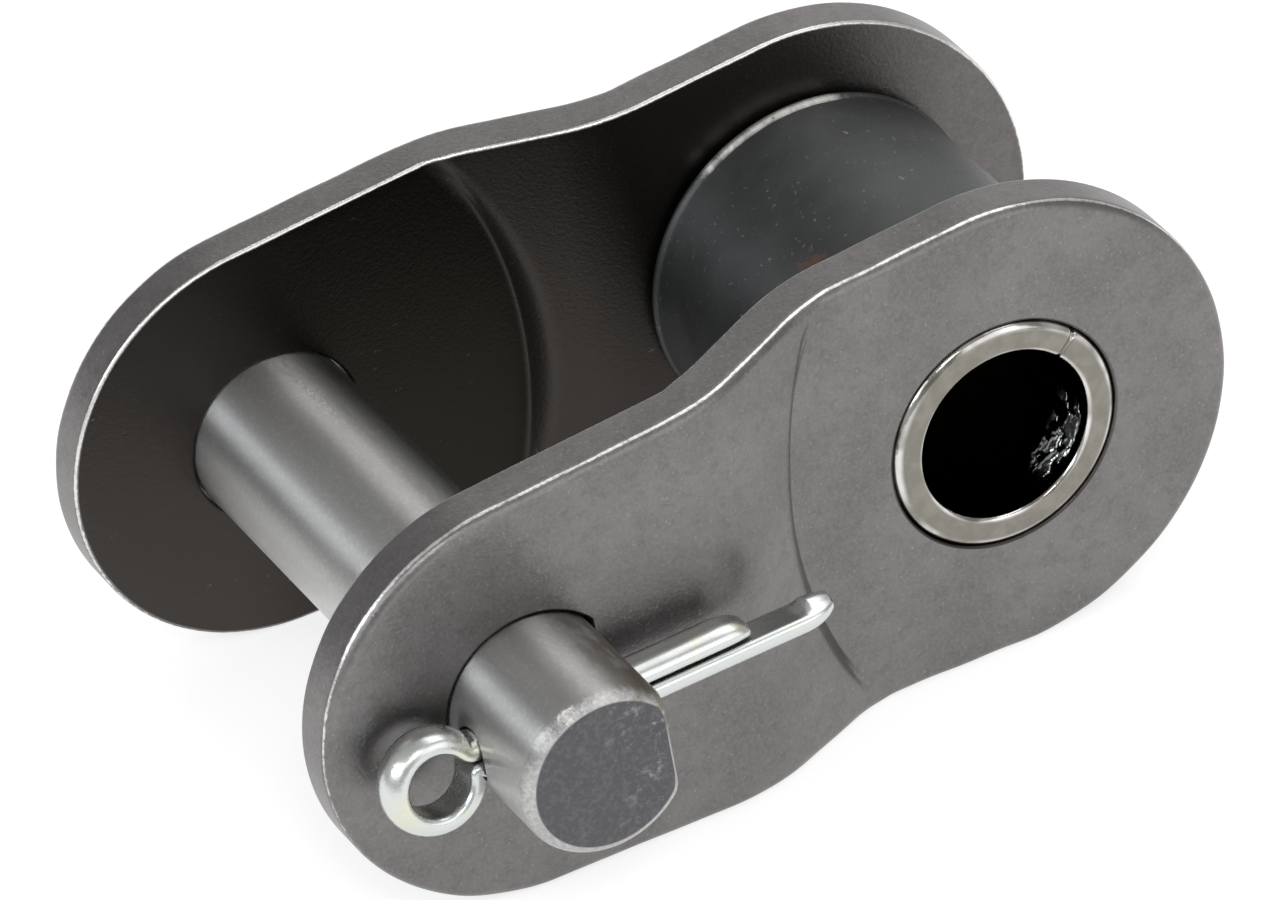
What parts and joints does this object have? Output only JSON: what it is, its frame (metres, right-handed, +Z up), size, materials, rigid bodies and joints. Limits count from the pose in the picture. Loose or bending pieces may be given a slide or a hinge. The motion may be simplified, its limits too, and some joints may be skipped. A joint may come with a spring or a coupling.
{
  "type": "offset chain link",
  "caption": "Cranked half link for a roller chain: two stepped plates, a pressed bush with a free roller, and a loose flatted pin held by a split pin.",
  "frame": {"origin": "middle of the bush's bore, half way between the two plates", "axes": "+X from the pin to the bush, +Y along the bush and the pin away from the split pin, +Z up"},
  "size_m": [0.0292, 0.0225, 0.0142],
  "materials": {
    "plate_steel": "satin dark grey, tumbled, with worn bright edges",
    "bush_steel": "bright turned rim, dark oily bore",
    "roller_steel": "dark blue-grey satin",
    "pin_steel": "ground light grey with a darker end face",
    "split_pin_zinc": "bright zinc plate"
  },
  "bodies": {
    "link": {"near_plate": "plate_steel", "far_plate": "plate_steel", "bush": "bush_steel", "link_pin": "pin_steel"},
    "roller": {"roller": "roller_steel"},
    "split_pin": {"split_pin": "split_pin_zinc"}
  },
  "joints": [
    {"name": "roller_spin", "type": "hinge", "parent": "link", "child": "roller", "pos_m": [0, 0, 0], "axis": [0, 1, 0], "continuous": true},
    {"name": "split_pin_pull", "type": "slide", "parent": "link", "child": "split_pin", "axis": [-1, 0, 0], "range_m": [0, 0.0112]}
  ]
}
